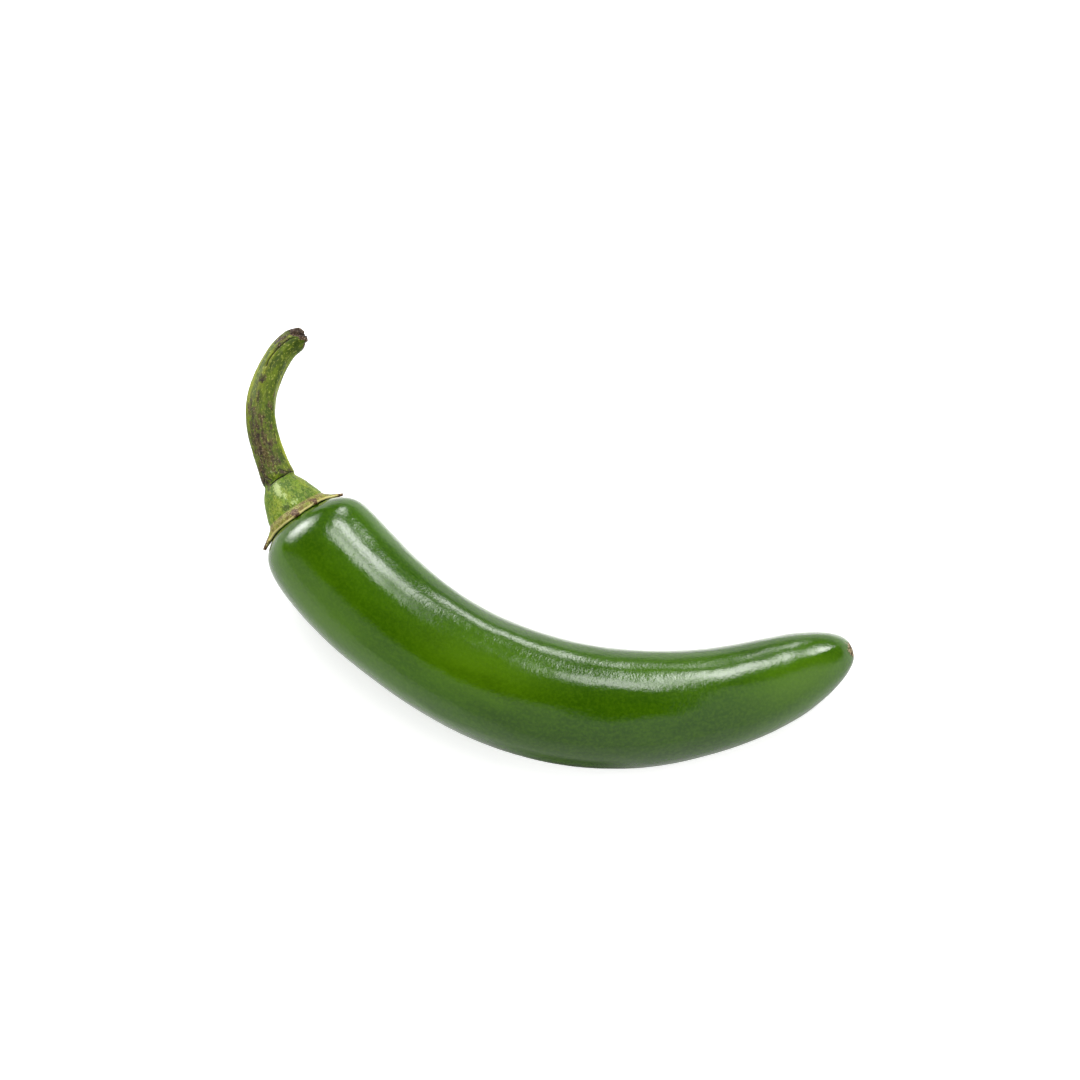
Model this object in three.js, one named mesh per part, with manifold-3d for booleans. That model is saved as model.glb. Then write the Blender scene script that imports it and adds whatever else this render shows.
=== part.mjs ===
// A fresh green chilli pepper, lying on its side: the curved pod, and the stem with its calyx.
// Millimetres, +Z up. The surface it lies on is Z = 0 and the pod's chord runs along +X, tip first.
// One smooth axis runs from the torn end of the stem to the tip of the pod. A station is a distance
// along that axis from the seat, where the calyx meets the pod: the stem is below 0, the pod above.
import * as THREE from 'three';
import { NURBSCurve } from 'three/addons/curves/NURBSCurve.js';
import { mergeVertices } from 'three/addons/utils/BufferGeometryUtils.js';
import Module from 'manifold-3d';

// Driving dimensions

const AXIS_POINTS = [
  [-43.8, 26.9, 16.4], [-46.5, 25.5, 16.2], [-48.0, 20.2, 15.8], [-48.1, 13.5, 15.1],
  [-45.0, 7.8, 14.1], [-41.3, 2.5, 12.7], [-35.1, -2.8, 10.9], [-27.0, -8.7, 9.4],
  [-17.1, -14.0, 9.1], [-6.2, -18.1, 9.42], [6.2, -19.7, 9.27], [18.4, -18.4, 8.95],
  [29.0, -14.2, 8.35], [39.0, -8.2, 6.8], [46.8, -1.0, 5.35], [50.4, 1.9, 4.4],
];
const SEAT = 34.6;

const POD_LENGTH = 96.9;
const POD_OUTLINE = [
  [-1.5, 0], [-1.5, 2.5], [-1.4, 4.4], [-0.7, 6.0], [0.5, 7.8], [2.6, 9.0], [7, 9.4], [14, 9.5],
  [24, 9.2], [33, 9.3], [42, 9.5], [52, 9.4], [62, 9.0], [71, 8.1], [79, 7.4], [86.5, 6.45],
  [92, 4.8], [95.4, 3.0], [POD_LENGTH, 1.4], [POD_LENGTH, 0],
];
const POD_ROWS = 62;
const POD_SIDES = 44;
const LOBES = { count: 3, depth: 0.014, reach: 26 };
const DENT = { station: 56, angle: 1.9, depth: 0.25, length: 6, width: 0.35 };
const DIMPLE = { depth: 0.35, reach: 1.3 };

const STEM_OUTLINE = [
  [-34.5, 0], [-34.6, 0.9], [-34.3, 1.7], [-33.2, 1.95], [-31.4, 1.95], [-28, 2.05], [-24, 2.15],
  [-19, 2.3], [-14, 2.3], [-10.5, 2.4], [-8.9, 2.6], [-8.2, 2.6], [-7.9, 2.4], [-7.4, 2.7],
  [-6.3, 3.5], [-4.4, 4.2], [-2.9, 4.75], [-2.0, 5.2],
];
const STEM_ROWS = 42;
const STEM_SIDES = 60;
const STALK = { fadeEnd: 6, fadeStart: 11 };
const RIDGES = { count: 5, depth: 0.04, twist: 0.03, ovalness: 0.4, ovalTurn: 0.9 };
const TEAR = {
  reach: 3.4, ridge: 1.2, slope: 0.45, lean: 0.2, rag: 0.06,
  waves: [[3, 0.6, 1], [7, 2.0, 0.6], [11, 1.6, 0.5]],
};

const SEAT_GAP = 0.3;
const LIP = { radius: 5.2, thickness: 0.7, slant: 0.1 };
const EDGE_WAVE = { height: 0.3, count: 4, turn: 1 };
// The teeth: each one's angle in degrees and its length. The two in front are worn short.
const TEETH = [[6, 2.1], [66, 0.6], [102, 0.6], [186, 2.3], [240, 1.6], [300, 1.4]];
const TOOTH = { halfWidth: 13, lift: 0.25 };
const EDGE_STEPS = [0, 0.5, 1];
const HOLLOW_STEPS = [0.75, 0.5, 0.25];

// Curves

// A cubic B-spline that starts and ends at its first and last points.
function smoothCurve(points, lengthSteps) {
  const controls = points.map(([x, y, z = 0]) => new THREE.Vector4(x, y, z, 1));
  const spans = controls.length - 3;
  const inner = Array.from({ length: spans - 1 }, (_, i) => i + 1);
  const curve = new NURBSCurve(3, [0, 0, 0, 0, ...inner, spans, spans, spans, spans], controls);
  curve.arcLengthDivisions = lengthSteps;
  return curve;
}

const axis = smoothCurve(AXIS_POINTS, 2000);
const podOutline = smoothCurve(POD_OUTLINE, 1000);
const stemOutline = smoothCurve(STEM_OUTLINE, 1000);

// A point beside the axis. The angle is 0 on the inside of the bend and a quarter turn on top.
function besideAxis(station, radius, angle) {
  const share = THREE.MathUtils.clamp((station + SEAT) / axis.getLength(), 0, 1);
  const along = axis.getTangentAt(share);
  const inward = new THREE.Vector3(-along.y, along.x, 0).normalize();
  const up = new THREE.Vector3().crossVectors(along, inward);
  return axis.getPointAt(share)
    .addScaledVector(inward, radius * Math.cos(angle))
    .addScaledVector(up, radius * Math.sin(angle));
}

// A turned solid with its axis bent along the fruit's axis. outline(angle) lists the
// (station, radius) pairs of one side, from one end on the axis to the other.
function bentSolid(sides, outline) {
  const straight = outline(0).map(([, radius], row) => new THREE.Vector2(radius, row));
  const geometry = new THREE.LatheGeometry(straight, sides);
  const places = geometry.getAttribute('position');
  for (let side = 0; side <= sides; side++) {
    const angle = (2 * Math.PI * (side % sides)) / sides;
    outline(angle).forEach(([station, radius], row) => {
      const p = besideAxis(station, radius, angle);
      places.setXYZ(side * straight.length + row, p.x, p.y, p.z);
    });
  }
  return geometry;
}

// A hump that is 1 in its middle and fades to 0.
function hump(distance, reach) {
  return Math.exp(-((distance / reach) ** 2));
}

function angleBetween(a, b) {
  return Math.atan2(Math.sin(a - b), Math.cos(a - b));
}

// Points of an outline, with both ends exactly on the axis.
function outlinePoints(curve, rows) {
  return curve.getPoints(rows - 1).map((p, row) => [p.x, row % (rows - 1) ? p.y : 0]);
}

// Pod

// Soft lobes at the shoulder, a shallow dent above the belly, and a dimple round the dry tip.
function podSide(angle) {
  return outlinePoints(podOutline, POD_ROWS).map(([station, radius]) => {
    const lobes = LOBES.depth * hump(station, LOBES.reach) * Math.cos(LOBES.count * angle);
    const dent = DENT.depth * hump(station - DENT.station, DENT.length)
      * hump(angleBetween(angle, DENT.angle), DENT.width);
    const dimple = station > POD_LENGTH / 2 ? DIMPLE.depth * hump(radius, DIMPLE.reach) : 0;
    return [station - dimple, radius ? radius * (1 + lobes) - dent : 0];
  });
}

// The pod lies on three low spots of its underside, below the shoulder, the belly and the far end.
function layFlat(geometry) {
  const places = geometry.getAttribute('position');
  for (let i = 0; i < places.count; i++) {
    places.setZ(i, Math.max(places.getZ(i), 0));
  }
  return geometry;
}

// Stem and calyx

// A point off the pod's shoulder: along is a distance down the shoulder from the calyx's lip,
// and distance is how far it stands off.
const podLengths = podOutline.getLengths();
const lipStep = podOutline.getPoints(podLengths.length - 1).findIndex((p) => p.y > LIP.radius);
const lipAlong = podLengths[lipStep];

function offShoulder(along, distance) {
  const share = (lipAlong + along) / podOutline.getLength();
  const p = podOutline.getPointAt(share);
  const d = podOutline.getTangentAt(share);
  return [p.x - d.y * distance, p.y + d.x * distance];
}

// How far the calyx's edge reaches down the shoulder: a soft wave, and pointed teeth.
function edgeReach(angle) {
  const degrees = THREE.MathUtils.radToDeg(angle);
  const teeth = TEETH.map(([at, length]) => {
    const away = Math.abs(THREE.MathUtils.euclideanModulo(degrees - at + 180, 360) - 180);
    return length * Math.max(1 - away / TOOTH.halfWidth, 0);
  });
  const wave = 1 + 0.5 * Math.sin(EDGE_WAVE.count * angle + EDGE_WAVE.turn);
  return EDGE_WAVE.height * wave + Math.max(...teeth);
}

// The torn end falls away to both sides of a ridge across it, more to the outside, and is ragged.
function tearSlope(angle) {
  const rag = TEAR.waves.reduce((sum, [count, turn, size]) => (
    sum + size * Math.sin(count * angle + turn)), 0);
  const across = Math.sin(angle - TEAR.ridge);
  return (TEAR.slope + TEAR.lean * across) * across ** 2 + TEAR.rag * rag;
}

// Lengthwise ridges on the stalk, which fade over the calyx, and the torn end.
function stalkSide(angle) {
  return outlinePoints(stemOutline, STEM_ROWS).map(([station, radius]) => {
    const onStalk = THREE.MathUtils.smoothstep(-station, STALK.fadeEnd, STALK.fadeStart);
    const ridges = Math.cos(RIDGES.count * (angle + RIDGES.twist * station))
      + RIDGES.ovalness * Math.cos(2 * angle + RIDGES.ovalTurn);
    const torn = THREE.MathUtils.smoothstep(-station, SEAT - TEAR.reach, SEAT);
    const tear = torn * radius * tearSlope(angle);
    return [station + tear, radius * (1 + RIDGES.depth * onStalk * ridges)];
  });
}

// The whole side: the torn end, the stalk, the ring, the calyx's flare, its edge with the teeth,
// and the hollow underneath, which sits just clear of the pod.
function stemSide(angle) {
  const reach = edgeReach(angle);
  const lift = (share) => SEAT_GAP + TOOTH.lift * share * share;
  const over = EDGE_STEPS.map((share) => offShoulder(reach * share, lift(share) + LIP.thickness));
  const under = EDGE_STEPS.map((share) => offShoulder(reach * share - LIP.slant, lift(share)));
  const hollow = HOLLOW_STEPS.map((share) => offShoulder(lipAlong * (share - 1), SEAT_GAP));
  const [roof] = offShoulder(-lipAlong, SEAT_GAP);
  return [...stalkSide(angle).slice(0, -1), ...over, ...under.reverse(), ...hollow, [roof, 0]];
}

// Closed meshes

const wasm = await Module();
wasm.setup();

function closedGeometry(geometry) {
  geometry.deleteAttribute('normal');
  geometry.deleteAttribute('uv');
  const merged = mergeVertices(geometry, 1e-4);
  const solid = new wasm.Manifold(new wasm.Mesh({
    numProp: 3,
    vertProperties: merged.getAttribute('position').array,
    triVerts: new Uint32Array(merged.index.array),
  }));
  const mesh = solid.getMesh();
  const closed = new THREE.BufferGeometry();
  closed.setAttribute('position', new THREE.BufferAttribute(mesh.vertProperties, 3));
  closed.setIndex(new THREE.BufferAttribute(mesh.triVerts, 1));
  closed.computeVertexNormals();
  return closed;
}

function namedMesh(name, geometry, color, roughness) {
  const material = new THREE.MeshStandardMaterial({ color, roughness, metalness: 0 });
  const mesh = new THREE.Mesh(closedGeometry(geometry), material);
  mesh.name = name;
  return mesh;
}

const chilli = new THREE.Group();
chilli.add(namedMesh('pod', layFlat(bentSolid(POD_SIDES, podSide)), 0x3f6a10, 0.25));
chilli.add(namedMesh('stem_calyx', bentSolid(STEM_SIDES, stemSide), 0x7d9a2c, 0.6));

export default chilli;
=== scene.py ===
# A fresh green chilli pepper, lying on its side: its looks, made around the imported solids.
# +Z up. Sizes are in millimetres, and MM turns them into metres. The floor and the lights are in
# metres.
from bisect import bisect_right
from math import atan2, cos, exp, pi, radians, sin
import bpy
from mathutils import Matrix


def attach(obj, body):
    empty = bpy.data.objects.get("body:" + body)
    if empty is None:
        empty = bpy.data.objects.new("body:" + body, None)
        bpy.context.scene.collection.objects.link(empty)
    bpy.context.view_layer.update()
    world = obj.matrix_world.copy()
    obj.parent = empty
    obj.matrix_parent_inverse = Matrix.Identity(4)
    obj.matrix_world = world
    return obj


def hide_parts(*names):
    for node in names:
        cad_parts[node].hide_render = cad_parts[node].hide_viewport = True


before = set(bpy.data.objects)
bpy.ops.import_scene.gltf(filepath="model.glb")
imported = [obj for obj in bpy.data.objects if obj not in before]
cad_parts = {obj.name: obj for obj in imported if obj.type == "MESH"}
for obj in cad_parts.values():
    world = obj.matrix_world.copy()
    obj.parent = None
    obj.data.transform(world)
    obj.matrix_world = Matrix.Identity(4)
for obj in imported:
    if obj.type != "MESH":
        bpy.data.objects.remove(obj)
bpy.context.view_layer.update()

from types import SimpleNamespace as Values

import bmesh
import bpy
from mathutils import Matrix, Vector, noise

MM = 0.001

# Sizes, as the solids have them. A station is a distance along the fruit's axis from the seat of
# the calyx: the stem is below 0, the pod above. An angle goes round the axis, from 0 on the inside
# of the bend to a quarter turn on top.

AXIS_POINTS = [
    (-43.8, 26.9, 16.4), (-46.5, 25.5, 16.2), (-48.0, 20.2, 15.8), (-48.1, 13.5, 15.1),
    (-45.0, 7.8, 14.1), (-41.3, 2.5, 12.7), (-35.1, -2.8, 10.9), (-27.0, -8.7, 9.4),
    (-17.1, -14.0, 9.1), (-6.2, -18.1, 9.42), (6.2, -19.7, 9.27), (18.4, -18.4, 8.95),
    (29.0, -14.2, 8.35), (39.0, -8.2, 6.8), (46.8, -1.0, 5.35), (50.4, 1.9, 4.4),
]
SEAT = 34.6
POD_LENGTH = 96.9
POD_OUTLINE = [
    (-1.5, 0), (-1.5, 2.5), (-1.4, 4.4), (-0.7, 6.0), (0.5, 7.8), (2.6, 9.0), (7, 9.4), (14, 9.5),
    (24, 9.2), (33, 9.3), (42, 9.5), (52, 9.4), (62, 9.0), (71, 8.1), (79, 7.4), (86.5, 6.45),
    (92, 4.8), (95.4, 3.0), (POD_LENGTH, 1.4), (POD_LENGTH, 0),
]
STEM_OUTLINE = [
    (-34.5, 0), (-34.6, 0.9), (-34.3, 1.7), (-33.2, 1.95), (-31.4, 1.95), (-28, 2.05), (-24, 2.15),
    (-19, 2.3), (-14, 2.3), (-10.5, 2.4), (-8.9, 2.6), (-8.2, 2.6), (-7.9, 2.4), (-7.4, 2.7),
    (-6.3, 3.5), (-4.4, 4.2), (-2.9, 4.75), (-2.0, 5.2),
]
SEAT_GAP = 0.3
LIP_RADIUS = 5.2


# Curves

def smooth_line(points, steps):
    """Points of the smooth curve that starts at the first point and ends at the last."""
    data = bpy.data.curves.new("line", "CURVE")
    data.dimensions = "3D"
    data.resolution_u = steps
    spline = data.splines.new("NURBS")
    spline.points.add(len(points) - 1)
    for control, place in zip(spline.points, points):
        control.co = (*place, 1.0) if len(place) == 3 else (*place, 0.0, 1.0)
    spline.order_u = 4
    spline.use_endpoint_u = True
    holder = bpy.data.objects.new("line", data)
    mesh = bpy.data.meshes.new_from_object(holder)
    line = [v.co.copy() for v in mesh.vertices]
    bpy.data.objects.remove(holder)
    bpy.data.curves.remove(data)
    bpy.data.meshes.remove(mesh)
    return line


class Route:
    """A curve that is read by the distance along it."""

    def __init__(self, line):
        self.line = line
        self.far = [0.0]
        for a, b in zip(line, line[1:]):
            self.far.append(self.far[-1] + (b - a).length)
        ends = [0] + list(range(len(line))) + [len(line) - 1]
        self.runs = [(line[ends[i + 2]] - line[ends[i]]).normalized() for i in range(len(line))]

    def read(self, distance):
        """The place at a distance, and the direction of the curve there."""
        distance = min(max(distance, 0.0), self.far[-1])
        i = min(bisect_right(self.far, distance), len(self.far) - 1)
        share = (distance - self.far[i - 1]) / (self.far[i] - self.far[i - 1])
        place = self.line[i - 1].lerp(self.line[i], share)
        return place, self.runs[i - 1].lerp(self.runs[i], share).normalized()


axis = Route(smooth_line(AXIS_POINTS, 80))
pod_line = smooth_line(POD_OUTLINE, 10)
shoulder = Route(smooth_line(POD_OUTLINE, 60))
stem_line = smooth_line(STEM_OUTLINE, 12)
lip_along = next(d for d, p in zip(shoulder.far, shoulder.line) if p.y > LIP_RADIUS)


def beside_axis(station, radius, angle):
    """The place at a station, at a distance from the axis and an angle round it."""
    place, along = axis.read(station + SEAT)
    inward = Vector((-along.y, along.x, 0)).normalized()
    up = along.cross(inward)
    return place + inward * (radius * cos(angle)) + up * (radius * sin(angle))


def off_shoulder(along, distance):
    """A station and radius off the pod's shoulder, so far down it from the calyx's lip."""
    p, d = shoulder.read(lip_along + along)
    return p.x - d.y * distance, p.y + d.x * distance


def hump(distance, reach):
    """1 in the middle, and less with the distance from it."""
    return exp(-((distance / reach) ** 2))


def ramp(value, low, high):
    """0 at low, 1 at high, and smooth between."""
    share = min(max((value - low) / (high - low), 0), 1)
    return share * share * (3 - 2 * share)


def turn_between(a, b):
    return atan2(sin(a - b), cos(a - b))


def grain(station, angle, length, size, seed=0.0):
    """Soft noise over a round piece, stretched along it: its features are so long and so wide."""
    return noise.noise((station / length, cos(angle) * 2 / size, sin(angle) * 2 / size + seed))


def rough(station, angle, layers):
    """The height of a rough surface. Each layer of noise has a height, length, width and seed."""
    return sum(height * grain(station, angle, *shape) for height, *shape in layers)


def mark_at(station, angle, radius, mark):
    """How strong a mark is at a place.

    A mark has a station, an angle in degrees, a half length, a half width and a strength.
    """
    place, turn, along, around, strength = mark
    sideways = radius * turn_between(angle, radians(turn))
    return strength * exp(-((station - place) / along) ** 2 - (sideways / around) ** 2)


def marks_at(station, angle, radius, marks):
    return max(mark_at(station, angle, radius, mark) for mark in marks)


# Turned pieces

def turned(line, sides):
    """A closed shape turned round the station axis; each vertex keeps the row that it came from."""
    bm = bmesh.new()
    row = bm.verts.layers.int.new("row")
    verts = []
    for number, (station, radius) in enumerate(line):
        vert = bm.verts.new((station, radius, 0))
        vert[row] = number
        verts.append(vert)
    edges = [bm.edges.new(pair) for pair in zip(verts, verts[1:])]
    bmesh.ops.spin(
        bm, geom=verts + edges, cent=(0, 0, 0), axis=(1, 0, 0), angle=2 * pi, steps=sides,
        use_merge=True, use_duplicate=False)
    bmesh.ops.remove_doubles(bm, verts=bm.verts, dist=1e-5)
    bmesh.ops.recalc_face_normals(bm, faces=bm.faces)
    return bm


def grown(name, line, sides, form, node):
    """Turns a line, forms each vertex, and bends the piece along the fruit's axis.

    form(row, angle) gives the station, the radius and the marks of a vertex, which its material
    reads as attributes.
    """
    bm = turned(line, sides)
    row = bm.verts.layers.int["row"]
    straight = bm.verts.layers.float_vector.new("straight")
    layers = {mark: bm.verts.layers.float.new(mark) for mark in form(0, 0.0)[2]}
    for vert in bm.verts:
        angle = atan2(vert.co.z, vert.co.y)
        station, radius, marks = form(vert[row], angle)
        vert[straight] = Vector((station, radius * cos(angle), radius * sin(angle))) * MM
        for mark, amount in marks.items():
            vert[layers[mark]] = amount
        vert.co = beside_axis(station, radius, angle) * MM
        vert.co.z = max(vert.co.z, 0.0)
    bmesh.ops.recalc_face_normals(bm, faces=bm.faces)
    mesh = bpy.data.meshes.new(name)
    bm.to_mesh(mesh)
    bm.free()
    mesh.shade_smooth()
    piece = bpy.data.objects.new(name, mesh)
    bpy.context.scene.collection.objects.link(piece)
    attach(piece, "root")
    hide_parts(node)
    return piece


# Pod

POD_SIDES = 160
LOBES = Values(count=3, depth=0.014, reach=26)
DENT = Values(station=56, angle=1.9, depth=0.25, length=6, width=0.35)
DIMPLE = Values(depth=0.35, reach=1.3)
# The skin's unevenness, and the radii between which it fades in from the ends.
UNEVEN = [(0.09, 13, 1.4, 0), (0.05, 5, 0.7, 5), (0.012, 0.9, 0.5, 9)]
UNEVEN_FADE = (0.5, 5)
SCAR = Values(mark=(96.1, 108, 1.1, 1.5, 1.1), radius=1.2, depth=0.12, rag=0.5)
# The radius at which the marks have their width.
MARK_RADIUS = 9.3
# Soft swellings and hollows of the skin: marks whose strength is a height.
SWELLINGS = [(31, 50, 5, 2.6, 0.16), (39, 56, 6, 2.6, 0.12)]
HOLLOWS = [(29, 76, 5, 2.4, 0.08), (38, 80, 6, 2.4, 0.06)]
# Skin with less shine, paler skin (painted light) and darker skin (painted shade under the belly).
SKIN_MARKS = {
    "dull": [
        (24.5, 84, 4.5, 2.8, 0.75), (19.5, 80, 3.4, 2.6, 0.6), (31, 84, 5, 2.1, 0.95),
        (39, 88, 5, 2.1, 0.95), (47, 93, 4.5, 1.9, 0.75), (80, 88, 4, 2.5, 0.25),
        (66, 64, 5, 1.1, 0.6), (74, 64, 5, 1.1, 0.7), (82, 67, 5, 1.1, 0.7),
    ],
    "bright": [(37, 100, 11, 4, 1.0), (85, 118, 8, 4, 0.8), (12, 145, 14, 5, 0.6)],
    "deep": [(58, 150, 17, 6, 0.8)],
}


def pod_form(row, angle):
    station, radius = pod_line[row].x, pod_line[row].y
    if row in (0, len(pod_line) - 1):
        at_tip = float(row > 0)
        marks = dict.fromkeys(SKIN_MARKS, 0.0)
        return station - DIMPLE.depth * at_tip, 0.0, {**marks, "scar": at_tip}
    lobes = LOBES.depth * hump(station, LOBES.reach) * cos(LOBES.count * angle)
    dent = DENT.depth * hump(station - DENT.station, DENT.length)
    dent *= hump(turn_between(angle, DENT.angle), DENT.width)
    dimple = DIMPLE.depth * hump(radius, DIMPLE.reach) if station > POD_LENGTH / 2 else 0
    scar = mark_at(station, angle, max(radius, SCAR.radius), SCAR.mark)
    scar += SCAR.rag * noise.noise((station * 3, angle * 4, 2)) * min(scar * 4, 1)
    uneven = rough(station, angle, UNEVEN) * ramp(radius, *UNEVEN_FADE)
    radius = radius * (1 + lobes) - dent + uneven
    radius += marks_at(station, angle, MARK_RADIUS, SWELLINGS)
    radius -= marks_at(station, angle, MARK_RADIUS, HOLLOWS)
    marks = {
        name: marks_at(station, angle, MARK_RADIUS, places) for name, places in SKIN_MARKS.items()}
    return station - dimple - SCAR.depth * max(scar, 0), radius, {**marks, "scar": scar}


pod_rows = [(p.x, p.y) for p in pod_line[:-1]] + [(POD_LENGTH, 0)]
pod = grown("pod_skin", pod_rows, POD_SIDES, pod_form, "pod")


# Stem and calyx

STEM_SIDES = 200
EDGE_ROWS = 12
UNDER_ROWS = 6
HOLLOW_ROWS = 3

# The stalk's ridges and bark fade in between these distances up from the seat.
STALK_FADE = (6, 11)
RIDGES = Values(count=5, depth=0.04, twist=0.03, ovalness=0.4, oval_turn=0.9)
BARK = [(0.05, 2.2, 0.35, 1), (0.03, 0.5, 0.2, 2)]
CORK_RAG = [(0.5, 0.9, 0.35, 6)]
CORK_HEIGHT = [(0.05, 0.45, 0.22, 8)]

# The torn end falls away to both sides of a ridge across it, and is ragged, with fibres. The
# splinters and the notch have an angle, a width and a height. The pith is sunk and dark.
TEAR = Values(
    start=31.2, ridge=0.63, slope=0.75, lean=0.1, rag=0.03,
    waves=[(3, 0.6, 1), (7, 2, 0.6), (11, 1.6, 0.5)])
SPLINTERS = [(2.2, 0.22, 0.4), (0.63, 0.22, 0.9), (1.65, 0.2, -0.5)]
FIBRES = Values(density=3.4, height=0.3, seed=7)
# The pith's darkness is painted shade in its sunk hollow.
PITH = Values(radius=1.75, soft=0.6, start=34.0, full=34.3, depth=0.3, darkness=0.5, centre=0.6)
DRY_END = Values(start=33.0, full=33.9, rag=[(0.5, 1, 0.5, 2)])

# The calyx: a cone with a soft rib to each tooth, and a lip that follows the pod's shoulder. The
# cone fades in so far up from the seat. A fold parts it from the dry collar, whose width is
# measured from the lip's edge.
CONE_START = (2.6, 3.6)
RIB = Values(height=0.08, width=0.3)
CONE_ROUGH = [(0.03, 0.7, 0.22, 4)]
FOLD = Values(depth=0.1, width=0.22)
COLLAR = 1.05
COLLAR_SOFT = 0.25
# The calyx's teeth: angle, length and half width in degrees. The two in front are worn short.
TEETH = [(6, 2.1, 10), (64, 0.4, 7), (101, 0.45, 8), (185, 2.3, 10), (243, 1.6, 9), (302, 1.4, 9)]
LONG_TOOTH = Values(least=1, trim=0.3, taper=1.5)
TOOTH_PATCH = Values(width=0.75, middle=0.2, length=0.6, edge_fade=0.25)
EDGE_WAVE = Values(height=0.25, count=4, turn=1)
EDGE_ROUGH = [(0.12, 1, 0.3, 3)]
LIP = Values(
    gap=0.12, thickness=0.6, thinning=0.38, tooth=0.25, lift=0.16, lift_from=0.5, slant=0.02,
    margin=0.3)

# Cracks in the stem: their (station, angle in degrees) points, width and depth.
CRACKS = [
    ([(-29.9, 93), (-29.2, 97), (-28.1, 102), (-27.2, 105), (-26.1, 102)], 0.1, 0.22),
    ([(-33.0, 76), (-31.7, 86), (-29.9, 93)], 0.06, 0.1),
    ([(-7.6, 128), (-7.9, 97), (-8.0, 70), (-8.3, 42), (-8.3, 18)], 0.12, 0.14),
    ([(-9.0, 140), (-8.2, 120)], 0.09, 0.15),
    ([(-9.25, 78), (-8.6, 61), (-8.3, 42)], 0.08, 0.1),
    ([(-8.6, 97), (-9.25, 78)], 0.06, 0.08),
    ([(-10.0, 146), (-8.7, 144), (-7.9, 170)], 0.12, 0.1),
]
# Stem marks: dry cork, paler (painted highlights), yellower (partly painted rim light), darker.
CORK = [
    (-13.6, 112, 4.8, 2.5, 0.95), (-10.5, 84, 1.6, 1.5, 0.7), (-9.4, 142, 2.2, 1.3, 1.0),
    (-17.4, 104, 2.8, 1.6, 0.85), (-14.2, 66, 3.2, 1.1, 0.7), (-19.6, 134, 2.0, 0.9, 0.75),
    (-8.7, 66, 0.6, 1.2, 0.7), (-20.0, 45, 1.1, 0.6, 0.8), (-22.3, 30, 0.7, 0.22, 1.0),
    (-21.3, 100, 3.2, 1.3, 0.5), (-24.1, 98, 0.75, 0.65, 1.2), (-18.7, 150, 0.4, 0.3, 1.0),
    (-31.5, 118, 1.9, 0.8, 1.1), (-30.1, 102, 1.5, 0.35, 0.8), (-8.7, 47, 0.7, 1.1, 0.7),
    (-27, 232, 3.4, 1.0, 0.8), (-20, 275, 4, 1.1, 0.8), (-13, 218, 4, 1.5, 0.9),
    (-25, 322, 3, 0.8, 0.6), (-10, 300, 2, 2, 0.8),
]
STEM_MARKS = {
    # Painted highlights: pale glints on the warty skin near the calyx.
    "pale": [
        (-6.3, 110, 1.5, 0.7, 0.95), (-4.9, 100, 0.9, 0.5, 0.7), (-9.6, 102, 0.8, 0.6, 0.7),
        (-3.2, 92, 0.6, 1.1, 0.6), (-6, 290, 1.5, 0.8, 0.7),
    ],
    # Partly the stalk's own yellow streaks, partly painted rim light along its inner edge.
    "yellow": [
        (-25, 155, 8, 0.8, 1.0), (-23, 6, 6, 0.35, 1.0), (-12, 20, 3, 0.7, 0.8),
        (-25, 270, 7, 0.8, 0.7),
    ],
    "dark": [(-3.2, 110, 0.9, 1.1, 1.0), (-2.9, 66, 0.35, 0.4, 1.0), (-4.0, 85, 0.7, 0.8, 0.6)],
}
# The marks of a vertex that has none.
PLAIN = dict.fromkeys([*STEM_MARKS, "crevice", "cork", "torn", "edge", "tooth"], 0.0)
# A margin well beyond the calyx, for the middle of the torn end.
FAR_MARGIN = 9.0


def crack_depth(station, angle, radius):
    """How deep the cracks are at a place, and their painted shade: 1 in the middle of a crack."""
    depth = dark = 0.0
    for points, width, full in CRACKS:
        for (s0, a0), (s1, a1) in zip(points, points[1:]):
            if not min(s0, s1) - 1 < station < max(s0, s1) + 1:
                continue
            along = Vector((s1 - s0, radius * radians(a1 - a0)))
            here = Vector((station - s0, radius * turn_between(angle, radians(a0))))
            share = min(max(here.dot(along) / along.length_squared, 0), 1)
            near = hump((here - along * share).length, width)
            if near > dark:
                dark = near
                depth = full * near
    return depth, dark


def edge_reach(angle):
    """How far the calyx's edge reaches down the shoulder, and how near a tooth's middle is."""
    reach = EDGE_WAVE.height * (1 + 0.5 * sin(EDGE_WAVE.count * angle + EDGE_WAVE.turn))
    reach += rough(0, angle, EDGE_ROUGH)
    peak = 0.0
    for place, length, half_width in TEETH:
        near = max(1 - abs(turn_between(angle, radians(place))) / radians(half_width), 0)
        if length > LONG_TOOTH.least:
            reach += (length - LONG_TOOTH.trim) * near ** LONG_TOOTH.taper
        else:
            reach += length * near
        peak = max(peak, near)
    return reach, peak


def by_tooth(angle, width, radius=1.0):
    """1 at the middle of each tooth, and less beside it."""
    return max(hump(radius * turn_between(angle, radians(tooth[0])), width) for tooth in TEETH)


def tooth_patch(angle):
    """The dry brown patch at each tooth."""
    return by_tooth(angle, TOOTH_PATCH.width, LIP_RADIUS)


def tear(angle, radius):
    """How far the torn end is cut back at a place."""
    rag = sum(size * sin(count * angle + turn) for count, turn, size in TEAR.waves)
    across = sin(angle - TEAR.ridge)
    slope = (TEAR.slope + TEAR.lean * across) * across * across + TEAR.rag * rag
    splinters = sum(
        height * hump(turn_between(angle, place), width) for place, width, height in SPLINTERS)
    return radius * slope - splinters


# For each row of the stem's line, how far it is down the calyx to the lip.
margins = Route(stem_line[::-1]).far[::-1]


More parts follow.
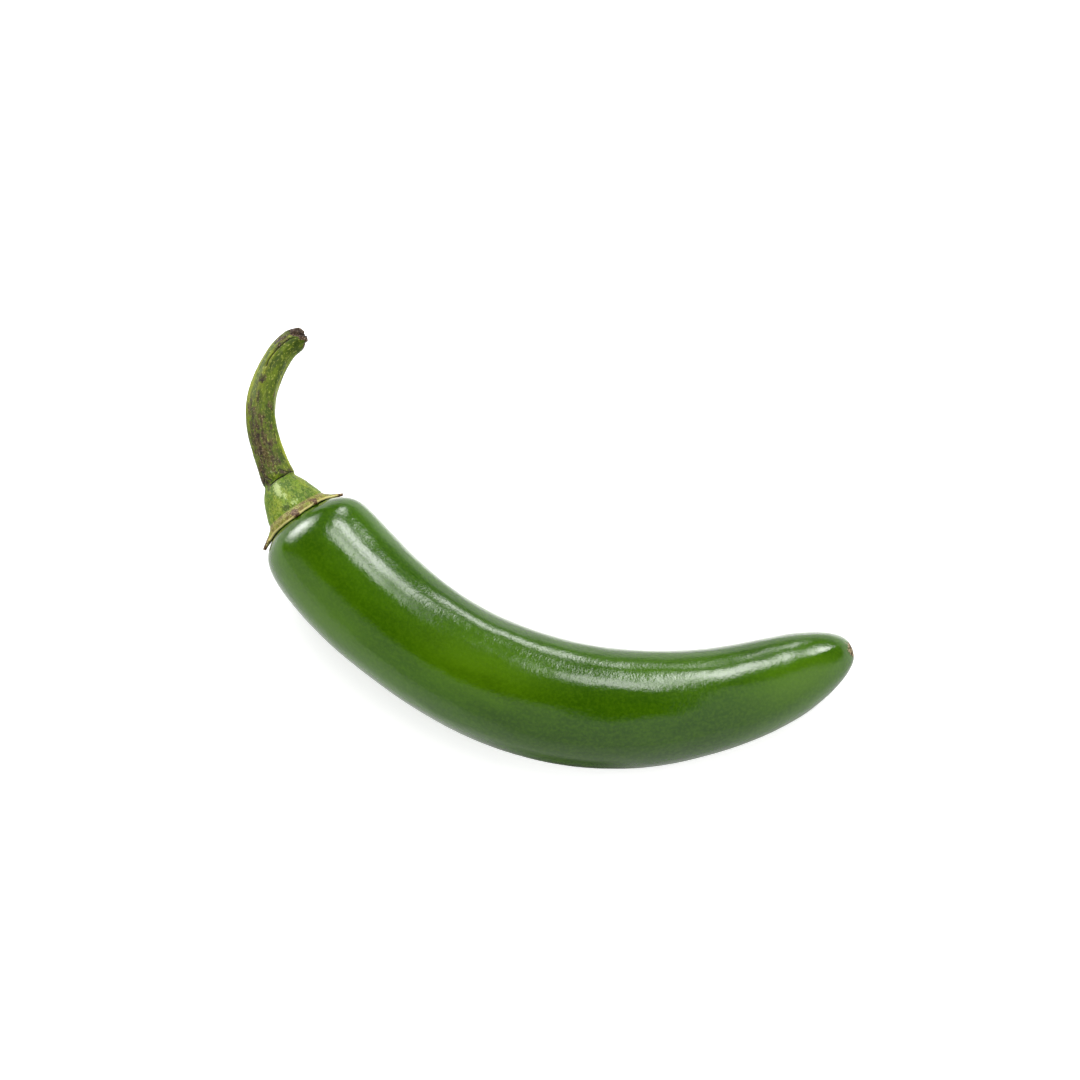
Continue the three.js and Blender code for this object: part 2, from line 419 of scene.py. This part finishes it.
def stalk_form(row, angle):
    station, radius = stem_line[row].x, stem_line[row].y
    if row == 0:
        # Painted shade in the middle of the sunk pith.
        marks = {"crevice": PITH.centre, "torn": 1.0, "edge": FAR_MARGIN}
        return station + PITH.centre, 0.0, {**PLAIN, **marks}
    stalk = ramp(-station, *STALK_FADE)
    ridges = cos(RIDGES.count * (angle + RIDGES.twist * station))
    ridges += RIDGES.ovalness * cos(2 * angle + RIDGES.oval_turn)
    torn = ramp(-station, TEAR.start, SEAT)
    pith = ramp(PITH.radius - radius, 0.0, PITH.soft) * ramp(-station, PITH.start, PITH.full)
    reach = radius * FIBRES.density
    fibres = noise.noise((cos(angle) * reach, sin(angle) * reach, FIBRES.seed))
    depth, dark = crack_depth(station, angle, radius)
    cork = marks_at(station, angle, radius, CORK)
    cork += rough(station, angle, CORK_RAG) * min(3 * cork, 1)
    bark = rough(station, angle, BARK)
    bark += rough(station, angle, CORK_HEIGHT) * min(max(cork, 0), 1)
    cone = ramp(-station, *CONE_START) * (1 - stalk)
    swell = RIB.height * cone * by_tooth(angle, RIB.width)
    swell += rough(station, angle, CONE_ROUGH) * (1 - stalk)
    margin = margins[row] + LIP.margin
    fold = FOLD.depth * hump(margin - COLLAR, FOLD.width)
    radius = radius * (1 + RIDGES.depth * stalk * ridges) + bark * stalk + swell - depth - fold
    marks = {name: marks_at(station, angle, radius, places) for name, places in STEM_MARKS.items()}
    # Painted shade in the cracks and in the pith.
    marks.update(
        crevice=max(dark, PITH.darkness * pith), cork=cork, edge=margin,
        torn=ramp(-station, DRY_END.start + rough(0, angle, DRY_END.rag), DRY_END.full),
        tooth=tooth_patch(angle) * hump(margin - TOOTH_PATCH.middle, TOOTH_PATCH.length))
    station += torn * (tear(angle, radius) + FIBRES.height * fibres) + PITH.depth * pith
    return station, radius, marks


def edge_form(row, angle):
    """The lip's outside, and then its underside, which has painted shade behind its edge."""
    reach, peak = edge_reach(angle)
    lift = LIP.gap - SEAT_GAP + LIP.lift * max(reach - LIP.lift_from, 0)
    if row < EDGE_ROWS:
        share = row / (EDGE_ROWS - 1)
        thick = LIP.thickness - LIP.thinning * share + LIP.tooth * peak * share * share
        station, radius = off_shoulder(reach * share, SEAT_GAP + thick + lift * share)
        patch = tooth_patch(angle) * (1 - TOOTH_PATCH.edge_fade * share)
        marks = {"tooth": max(peak * share, patch), "edge": LIP.margin * (1 - share)}
        return station, radius, {**PLAIN, **marks}
    row -= EDGE_ROWS
    share = 1 - row / (UNDER_ROWS - 1)
    slant = LIP.slant * min(row, UNDER_ROWS - 2)
    station, radius = off_shoulder(reach * share - slant, SEAT_GAP + lift * share)
    # Painted shade on the underside, behind its edge row.
    return station, radius, {**PLAIN, "crevice": float(row > 0), "tooth": peak}


def stem_form(row, angle):
    """The stalk and the cone, the lip, and the hollow underneath, which ends on the axis."""
    calyx_row = row - (len(stem_line) - 1)
    if calyx_row < 0:
        return stalk_form(row, angle)
    hollow_row = calyx_row - (EDGE_ROWS + UNDER_ROWS)
    if hollow_row < 0:
        return edge_form(calyx_row, angle)
    # The hollow takes the underside's marks, painted shade included.
    hidden = edge_form(EDGE_ROWS + 1, angle)[2]
    inwards = -lip_along * (hollow_row + 1) / (HOLLOW_ROWS + 1)
    station, radius = off_shoulder(inwards, SEAT_GAP)
    return station, radius if hollow_row < HOLLOW_ROWS else 0.0, hidden


# The rows of the lip and of the hollow are only counted here: stem_form places them.
stem_rows = [(stem_line[0].x, 0)] + [(p.x, p.y) for p in stem_line[1:-1]]
stem_rows += [(0.1 * i, LIP_RADIUS) for i in range(EDGE_ROWS + UNDER_ROWS + HOLLOW_ROWS)]
stem_rows.append((5, 0))
stem = grown("stem_and_calyx", stem_rows, STEM_SIDES, stem_form, "stem_calyx")


# Materials

class Nodes:
    """Adds nodes to a tree. A value that is a socket is linked, and any other is set."""

    def __init__(self, tree):
        self.tree = tree

    def add(self, kind, inputs=None, **settings):
        made = self.tree.nodes.new("ShaderNode" + kind)
        for name, value in settings.items():
            setattr(made, name, value)
        for place, value in (inputs or {}).items():
            if isinstance(value, bpy.types.NodeSocket):
                self.tree.links.new(value, made.inputs[place])
            else:
                made.inputs[place].default_value = value
        return made

    def calc(self, operation, *values):
        return self.add("Math", dict(enumerate(values)), operation=operation).outputs[0]

    def times(self, a, b):
        return self.calc("MULTIPLY", a, b)

    def most(self, a, b):
        return self.calc("MAXIMUM", a, b)

    def minus(self, a, b):
        return self.calc("SUBTRACT", a, b)

    def fade(self, value, low, high):
        """0 at low, 1 at high, and smooth between."""
        made = self.add("MapRange", {0: value, 1: low, 2: high}, interpolation_type="SMOOTHSTEP")
        return made.outputs[0]

    def mix(self, share, a, b):
        made = self.add("Mix", {0: share, 6: a, 7: b}, data_type="RGBA")
        return made.outputs[2]

    def tint(self, base, mask, strength, tone):
        """The base colour, turned towards a tone by a mask and a strength."""
        return self.mix(self.times(mask, strength), base, tone)

    def noise(self, vector, scale, detail, rough=0.55):
        made = self.add(
            "TexNoise", {"Vector": vector, "Scale": scale, "Detail": detail, "Roughness": rough})
        return made.outputs[0]

    def stretched(self, vector, scale):
        return self.add("Mapping", {"Vector": vector, "Scale": scale}).outputs[0]

    def attribute(self, name, output="Fac"):
        return self.add("Attribute", attribute_name=name).outputs[output]


def patches_group():
    """Irregular patches: a mask of soft noise between two levels, stretched along the fruit."""
    tree = bpy.data.node_groups.new("patches", "ShaderNodeTree")
    for name in ("Vector", "Stretch"):
        tree.interface.new_socket(name, in_out="INPUT", socket_type="NodeSocketVector")
    for name in ("Scale", "Detail", "Low", "High"):
        tree.interface.new_socket(name, in_out="INPUT", socket_type="NodeSocketFloat")
    tree.interface.new_socket("Mask", in_out="OUTPUT", socket_type="NodeSocketFloat")
    nodes = Nodes(tree)
    given = tree.nodes.new("NodeGroupInput").outputs
    placed = nodes.stretched(given["Vector"], given["Stretch"])
    cloud = nodes.noise(placed, given["Scale"], given["Detail"])
    mask = nodes.fade(cloud, given["Low"], given["High"])
    tree.links.new(mask, tree.nodes.new("NodeGroupOutput").inputs["Mask"])
    return tree


PATCHES = patches_group()


def patches(nodes, vector, scale, low, high, detail, stretch):
    """A mask of irregular patches."""
    inputs = {
        "Vector": vector, "Stretch": stretch, "Scale": scale, "Detail": detail, "Low": low,
        "High": high}
    return nodes.add("Group", inputs, node_tree=PATCHES).outputs["Mask"]


def colour(red, green, blue):
    """A colour from its eight-bit screen values."""
    def light(value):
        value /= 255
        return value / 12.92 if value <= 0.04045 else ((value + 0.055) / 1.055) ** 2.4
    return light(red), light(green), light(blue), 1.0


def grey(light):
    return light, light, light, 1


def set_values(shader, **values):
    for name, value in values.items():
        shader.inputs[name.replace("_", " ")].default_value = value


def new_material(name):
    material = bpy.data.materials.new(name)
    material.use_nodes = True
    return material, Nodes(material.node_tree), material.node_tree.nodes["Principled BSDF"]


# Patches: features to a metre, the noise levels where they begin and are full, how fine their
# detail is, and how much they are stretched along the fruit.
CLOUDS = (130.0, 0.36, 0.66, 3.0, (0.4, 1, 1))
STREAKS = (420.0, 0.45, 0.75, 4.0, (0.2, 1, 1))
GRAINS = (2200.0, 0.35, 0.7, 2.0, (1, 1, 1))
MOTTLES = (900.0, 0.38, 0.62, 4.0, (0.4, 1, 1))
STRIPES = (560.0, 0.5, 0.62, 4.0, (0.06, 1, 1))
SPECKLES = (3600.0, 0.56, 0.66, 2.0, (0.6, 1, 1))
PITS = (3000.0, 0.44, 0.36, 2.0, (0.6, 1, 1))
MOSS = (1300.0, 0.52, 0.58, 4.0, (0.5, 1, 1))
# Noise, in the same way: features to a metre, detail and roughness.
SCAR_CRUMBS = (3000.0, 3.0, 0.55)
SKIN_MOTTLES = (700.0, 2.0, 0.55)
SKIN_WRINKLES = (2900.0, 3.0, 0.6)
WRINKLE_STRETCH = (1.0, 0.75, 0.75)
BARK_FINE = (4600.0, 4.0, 0.75)
FINE_STRETCH = (0.6, 1, 1)
BARK_PLATES = (1500.0, 3.0, 0.6)
PLATE_STRETCH = (0.45, 1, 1)
CALYX_NET = (2600.0, 3.0, 0.6)
BARK_KNOBS = (3400.0, 3.0, 0.6)
# Ragged marks: features to a metre, the levels where they begin and are full, and their spread.
RAGGED = {
    "yellow": (900.0, 0.2, 0.8, 0.8),
    "pale": (3000.0, 0.3, 0.8, 1.8),
    "dark": (3600.0, 0.6, 0.85, 2.6),
    "cork": (2400.0, 0.2, 0.8, 1.7),
    "tooth": (1500.0, 0.35, 0.75, 1.7),
}
SKIN_BUMP = {"Strength": 0.36, "Distance": 0.07 * MM}
BARK_BUMP = {"Strength": 0.9, "Distance": 0.14 * MM}

# The colours of the pod; bright and shaded are painted light and painted shade.
SKIN = Values(
    deep=colour(39, 73, 0), green=colour(53, 90, 0), bright=colour(74, 110, 1),
    shaded=colour(26, 54, 2), streak=colour(36, 66, 0), grain=colour(82, 118, 10),
    scar_brown=colour(44, 34, 22), scar_tan=colour(160, 146, 112))


def pod_material():
    material, nodes, skin = new_material("glossy_green_skin")
    link = material.node_tree.links.new
    straight = nodes.attribute("straight", "Vector")
    base = nodes.mix(patches(nodes, straight, *CLOUDS), SKIN.deep, SKIN.green)
    # Painted light and painted shade: paler low at both ends, darker under the belly.
    base = nodes.tint(base, nodes.attribute("bright"), 0.7, SKIN.bright)
    base = nodes.tint(base, nodes.attribute("deep"), 0.6, SKIN.shaded)
    base = nodes.tint(base, patches(nodes, straight, *STREAKS), 0.35, SKIN.streak)
    base = nodes.tint(base, patches(nodes, straight, *GRAINS), 0.22, SKIN.grain)
    crumbs = nodes.fade(nodes.noise(straight, *SCAR_CRUMBS), 0.42, 0.66)
    scar = nodes.fade(nodes.attribute("scar"), 0.3, 0.6)
    base = nodes.mix(scar, base, nodes.mix(crumbs, SKIN.scar_brown, SKIN.scar_tan))
    link(base, skin.inputs["Base Color"])
    mottles = nodes.noise(straight, *SKIN_MOTTLES)
    wrinkles = nodes.noise(nodes.stretched(straight, WRINKLE_STRETCH), *SKIN_WRINKLES)
    height = nodes.calc("MULTIPLY_ADD", mottles, 1.6, wrinkles)
    bump = nodes.add("Bump", {**SKIN_BUMP, "Height": height})
    link(bump.outputs[0], skin.inputs["Normal"])
    link(bump.outputs[0], skin.inputs["Coat Normal"])
    shine = nodes.minus(1.0, nodes.most(scar, nodes.attribute("dull")))
    link(shine, skin.inputs["Coat Weight"])
    set_values(skin, Roughness=0.36, Specular_IOR_Level=0.02, Coat_Roughness=0.08, Coat_IOR=1.45)
    return material


# The colours of the stalk, of the calyx, of the cork, and of the dry edge, teeth and torn end.
STALK = Values(
    deep=colour(52, 70, 2), green=colour(88, 106, 6), stripe=colour(128, 136, 28),
    speckle=colour(162, 168, 70), pit=colour(34, 46, 4), yellow=colour(138, 146, 26))
CALYX = Values(
    deep=colour(62, 92, 2), green=colour(98, 126, 8), net=colour(150, 168, 66),
    mesh=colour(72, 100, 10), wart=colour(196, 210, 140), dark=colour(48, 60, 14))
# The last cork colour is near black painted shade, for the cracks, the pith and under the lip.
CORKY = Values(
    brown=colour(44, 31, 22), olive=colour(76, 66, 32), tan=colour(152, 138, 94),
    black=colour(30, 22, 14), moss=colour(80, 96, 22), crevice=colour(20, 14, 6))
DRY = Values(
    olive=colour(98, 84, 36), straw=colour(170, 164, 88), green=colour(124, 136, 44),
    brown=colour(106, 84, 50), edge=colour(206, 196, 124), tooth_brown=colour(52, 32, 20),
    tooth_tan=colour(128, 100, 70), end_brown=colour(48, 32, 22), end_tan=colour(150, 126, 94))
# How far up from the lip the stalk's green turns into the calyx's.
CONE_GREEN = (7.4, 6.6)


def ragged(nodes, straight, mark):
    """A mark with a ragged edge, as a mask."""
    size, low, high, spread = RAGGED[mark]
    cloud = nodes.minus(nodes.noise(straight, size, 4.0, 0.65), 0.5)
    moved = nodes.calc("MULTIPLY_ADD", cloud, spread, nodes.attribute(mark))
    return nodes.fade(moved, low, high)


def green_colour(nodes, straight, edge):
    """The mottled greens of the stalk and the calyx, with their stripes, speckles and net."""
    mottles = patches(nodes, straight, *MOTTLES)
    stalk = nodes.mix(mottles, STALK.deep, STALK.green)
    calyx = nodes.mix(mottles, CALYX.deep, CALYX.green)
    on_calyx = nodes.fade(edge, *CONE_GREEN)
    green = nodes.mix(on_calyx, stalk, calyx)
    green = nodes.tint(green, patches(nodes, straight, *STRIPES), 0.55, STALK.stripe)
    # Pale speckles: partly the skin's own, partly painted glints of light.
    green = nodes.tint(green, patches(nodes, straight, *SPECKLES), 0.5, STALK.speckle)
    green = nodes.tint(green, patches(nodes, straight, *PITS), 0.45, STALK.pit)
    # Yellower streaks: partly the stalk's own, partly painted rim light along its inner edge.
    green = nodes.tint(green, ragged(nodes, straight, "yellow"), 0.6, STALK.yellow)
    net = nodes.noise(straight, *CALYX_NET)
    netting = nodes.times(nodes.fade(net, 0.5, 0.62), on_calyx)
    green = nodes.tint(green, netting, 0.35, CALYX.net)
    green = nodes.tint(green, nodes.fade(net, 0.46, 0.36), on_calyx, CALYX.mesh)
    # Painted highlight: pale glints on the warty skin near the calyx.
    green = nodes.tint(green, ragged(nodes, straight, "pale"), 0.55, CALYX.wart)
    return nodes.tint(green, ragged(nodes, straight, "dark"), 0.7, CALYX.dark)


def cork_colour(nodes, straight, fine, plates):
    """The brown bark, with its pale flakes, dark gaps and moss."""
    cork = nodes.mix(nodes.fade(plates, 0.4, 0.6), CORKY.brown, CORKY.olive)
    cork = nodes.mix(nodes.fade(fine, 0.56, 0.66), cork, CORKY.tan)
    cork = nodes.mix(nodes.fade(fine, 0.46, 0.38), cork, CORKY.black)
    return nodes.tint(cork, patches(nodes, straight, *MOSS), 0.6, CORKY.moss)


def collar_colour(nodes, fine, plates):
    """The dry collar round the calyx's edge."""
    collar = nodes.mix(nodes.fade(fine, 0.4, 0.62), DRY.olive, DRY.straw)
    collar = nodes.mix(nodes.fade(plates, 0.52, 0.62), collar, DRY.green)
    return nodes.mix(nodes.fade(plates, 0.45, 0.37), collar, DRY.brown)


def stem_material():
    material, nodes, bark = new_material("stem_and_calyx_skin")
    link = material.node_tree.links.new
    straight = nodes.attribute("straight", "Vector")
    edge = nodes.attribute("edge")
    fine = nodes.noise(nodes.stretched(straight, FINE_STRETCH), *BARK_FINE)
    plates = nodes.noise(nodes.stretched(straight, PLATE_STRETCH), *BARK_PLATES)
    green = green_colour(nodes, straight, edge)
    cork = cork_colour(nodes, straight, fine, plates)
    collar = collar_colour(nodes, fine, plates)
    tooth = nodes.mix(nodes.fade(fine, 0.4, 0.62), DRY.tooth_brown, DRY.tooth_tan)
    end = nodes.mix(nodes.fade(fine, 0.5, 0.68), DRY.end_brown, DRY.end_tan)
    base = nodes.mix(ragged(nodes, straight, "cork"), green, cork)
    base = nodes.tint(base, nodes.fade(edge, COLLAR, COLLAR - COLLAR_SOFT), 0.85, collar)
    base = nodes.mix(nodes.fade(edge, 0.12, 0.0), base, DRY.edge)
    base = nodes.mix(ragged(nodes, straight, "tooth"), base, tooth)
    base = nodes.mix(nodes.fade(nodes.attribute("torn"), 0.3, 0.7), base, end)
    # Painted shade: near black in the cracks, in the sunk pith and under the calyx's lip.
    base = nodes.mix(nodes.attribute("crevice"), base, CORKY.crevice)
    link(base, bark.inputs["Base Color"])
    knobs = nodes.noise(straight, *BARK_KNOBS)
    bump = nodes.add("Bump", {**BARK_BUMP, "Height": knobs})
    link(bump.outputs[0], bark.inputs["Normal"])
    set_values(bark, Roughness=0.42, Specular_IOR_Level=0.14)
    return material


pod.data.materials.append(pod_material())
stem.data.materials.append(stem_material())


# Camera, at the photograph's angle

CAMERA_TURN = 14.25
CAMERA_HEIGHT = 70.0
CAMERA_FAR = 395.25 * MM
LENS = 85
FILM_WIDTH = 36
AIM = Vector((-0.6, 5.2, 9.5)) * MM

side = Vector((cos(radians(CAMERA_TURN)), sin(radians(CAMERA_TURN)), 0))
back = Vector((-side.y, side.x, 0))
to_camera = -back * cos(radians(CAMERA_HEIGHT)) + Vector((0, 0, sin(radians(CAMERA_HEIGHT))))
picture_up = to_camera.cross(side)

camera = bpy.data.objects.new("camera", bpy.data.cameras.new("camera"))
camera.data.lens = LENS
camera.data.sensor_width = FILM_WIDTH
camera.data.clip_start = 0.01
camera.location = AIM + to_camera * CAMERA_FAR
camera.rotation_euler = (-to_camera).to_track_quat("-Z", "Y").to_euler()
bpy.context.scene.collection.objects.link(camera)
bpy.context.scene.camera = camera


# Floor

# The fruit's bend seen from above: y = BEND_LOW + BEND * (x - BEND_MIDDLE) ** 2.
BEND = 0.0105
BEND_MIDDLE = 5.0
BEND_LOW = -19.7
BEND_SOFT = (-0.003, 0.003)
# How far from the skin a part of the floor changes in reflections. Each goes from 0 to 1.
FLAG_REACH = (0.04, 0.12)
CLOSE_REACH = (0.019, 0.012)
RIM_REACH = (0.026, 0.016)
# Where along x the close floor glows at the left, and where it is dim up to the right.
LEFT_PLACE = (0.012, -0.014)
DIM_PLACE = (0.030, 0.016)
GLOW = Values(camera=0.5, left=0.3, rim=1.1)
DIMMED = Values(gloss=0.3, diffuse=0.5)


def floor_material():
    """A plain pale floor, for a picture that is cut out on white.

    It glows a little to the camera. In reflections it is dim behind the fruit's bend and close to
    the front, as beside a studio flag, and bright close behind the fruit and at the left.
    """
    material, nodes, paint = new_material("floor_paint")
    link = material.node_tree.links.new
    x, y = nodes.add("SeparateXYZ", {0: nodes.add("TexCoord").outputs["Object"]}).outputs[:2]
    ray = nodes.add("LightPath").outputs
    far, glossy = ray["Ray Length"], ray["Is Glossy Ray"]
    from_middle = nodes.minus(x, BEND_MIDDLE * MM)
    bend = nodes.times(nodes.times(from_middle, from_middle), BEND / MM)
    beyond = nodes.fade(nodes.minus(nodes.minus(y, bend), BEND_LOW * MM), *BEND_SOFT)

    flagged = nodes.times(beyond, nodes.fade(far, *FLAG_REACH))
    close = nodes.times(nodes.fade(far, *CLOSE_REACH), glossy)
    rim = nodes.times(nodes.times(beyond, glossy), nodes.fade(far, *RIM_REACH))
    left = nodes.times(nodes.fade(x, *LEFT_PLACE), close)
    shut = nodes.times(nodes.fade(x, *DIM_PLACE), nodes.minus(close, nodes.most(left, rim)))
    dim = nodes.times(nodes.most(flagged, DIMMED.gloss), glossy)
    dim = nodes.most(dim, nodes.times(ray["Is Diffuse Ray"], DIMMED.diffuse))
    dim = nodes.most(dim, shut)
    link(nodes.mix(dim, grey(0.85), grey(0.15)), paint.inputs["Base Color"])

    glow = nodes.times(ray["Is Camera Ray"], GLOW.camera)
    glow = nodes.most(glow, nodes.times(left, GLOW.left))
    glow = nodes.most(glow, nodes.times(rim, GLOW.rim))
    link(glow, paint.inputs["Emission Strength"])
    set_values(paint, Roughness=0.9, Specular_IOR_Level=0.0, Emission_Color=grey(1))
    return material


def floor():
    bm = bmesh.new()
    bmesh.ops.create_grid(bm, x_segments=1, y_segments=1, size=1.5)
    bmesh.ops.recalc_face_normals(bm, faces=bm.faces)
    mesh = bpy.data.meshes.new("floor")
    bm.to_mesh(mesh)
    bm.free()
    mesh.materials.append(floor_material())
    made = bpy.data.objects.new("floor", mesh)
    bpy.context.scene.collection.objects.link(made)


# Light

# The pale room's edges, in degrees above and beside the line of sight, and how soft they are.
FRONT_TOP = -12
RIGHT_TOP = 33
RIGHT_MIDDLE = 10
RIGHT_START = 27
EDGE_SOFT = Values(front=0.07, top=0.1, right=0.06)
WALLS = Values(dark=0.003, left=0.55, right=0.9, start=-0.85, end=0.3)
# Light cards: degrees above and to the right of the line of sight, width, height, radiance, and
# the share of the width in which each edge fades. The first ones show as highlights only, and the
# others light the fruit and don't show.
CARD_FAR = 0.9
HIGHLIGHTS = {
    "left_card": (77, -42, 1.2, 1.0, 21, 0.5),
    "main_card": (66, 22, 0.38, 0.52, 17.5, 0.42),
    "right_card": (83, 41, 0.34, 0.42, 17, 0.4),
    "low_card": (46, 12, 0.3, 0.44, 11.5, 0.4),
    "high_card": (97, 16, 0.26, 0.42, 13, 0.5),
}
FILLS = {
    "top_fill": (50, 5, 1.6, 1.6, 2.5, 0.3),
    "back_fill": (100, 12, 1.6, 1.0, 3.2, 0.3),
    "left_fill": (-10, -70, 1.0, 1.0, 5.6, 0.3),
    "right_fill": (0, 70, 1.0, 1.0, 5.5, 0.3),
}


def towards(above, sideways):
    """A direction from the fruit: turned up from the line of sight, then to the right."""
    up = to_camera * cos(radians(above)) + picture_up * sin(radians(above))
    return up * cos(radians(sideways)) + side * sin(radians(sideways))


def softbox(name, above, sideways, width, height, radiance, soft):
    """A soft-edged light card that faces the fruit."""
    data = bpy.data.lights.new(name, "AREA")
    data.shape = "RECTANGLE"
    data.size = width
    data.size_y = height
    data.energy = radiance * pi * width * height
    data.use_nodes = True
    nodes = Nodes(data.node_tree)
    place = nodes.add("NewGeometry").outputs["Parametric"]
    strength = 1.0
    for part in nodes.add("SeparateXYZ", {0: place}).outputs[:2]:
        strength = nodes.times(nodes.fade(nodes.calc("PINGPONG", part, 0.5), 0.0, soft), strength)
    data.node_tree.links.new(strength, data.node_tree.nodes["Emission"].inputs["Strength"])
    out = towards(above, sideways)
    tilt = side.cross(out).normalized()
    facing = Matrix((-out.cross(tilt), tilt, out)).transposed()
    card = bpy.data.objects.new(name, data)
    card.matrix_world = Matrix.Translation(AIM + out * CARD_FAR) @ facing.to_4x4()
    card.visible_camera = False
    bpy.context.scene.collection.objects.link(card)
    return card


def room():
    """The pale room in front of the fruit and to its right; the rest is dark."""
    world = bpy.data.worlds.new("room")
    world.use_nodes = True
    link = world.node_tree.links.new
    nodes = Nodes(world.node_tree)
    facing = nodes.add("TexCoord").outputs["Generated"]

    def lean(normal, low, high):
        """From 0 to 1 as a direction leans towards the normal."""
        inputs = {0: facing, 1: tuple(normal)}
        made = nodes.add("VectorMath", inputs, operation="DOT_PRODUCT")
        return nodes.fade(made.outputs["Value"], low, high)

    front = lean(-towards(90 + FRONT_TOP, 0), -EDGE_SOFT.front, EDGE_SOFT.front)
    low = lean(-towards(90 + RIGHT_TOP, 0), -EDGE_SOFT.top, EDGE_SOFT.top)
    right = lean(towards(RIGHT_MIDDLE, 90 + RIGHT_START), -EDGE_SOFT.right, EDGE_SOFT.right)
    pale = nodes.most(front, nodes.times(low, right))
    walls = nodes.mix(lean(side, WALLS.start, WALLS.end), grey(WALLS.left), grey(WALLS.right))
    shade = nodes.mix(pale, grey(WALLS.dark), walls)
    dimmed = nodes.times(nodes.add("LightPath").outputs["Is Diffuse Ray"], 0.5)
    background = world.node_tree.nodes["Background"]
    link(shade, background.inputs["Color"])
    link(nodes.minus(1.0, dimmed), background.inputs["Strength"])
    bpy.context.scene.world = world


floor()
room()
for name, card in HIGHLIGHTS.items():
    softbox(name, *card).visible_diffuse = False
for name, card in FILLS.items():
    softbox(name, *card).visible_glossy = False
bpy.context.scene.view_settings.view_transform = "Standard"
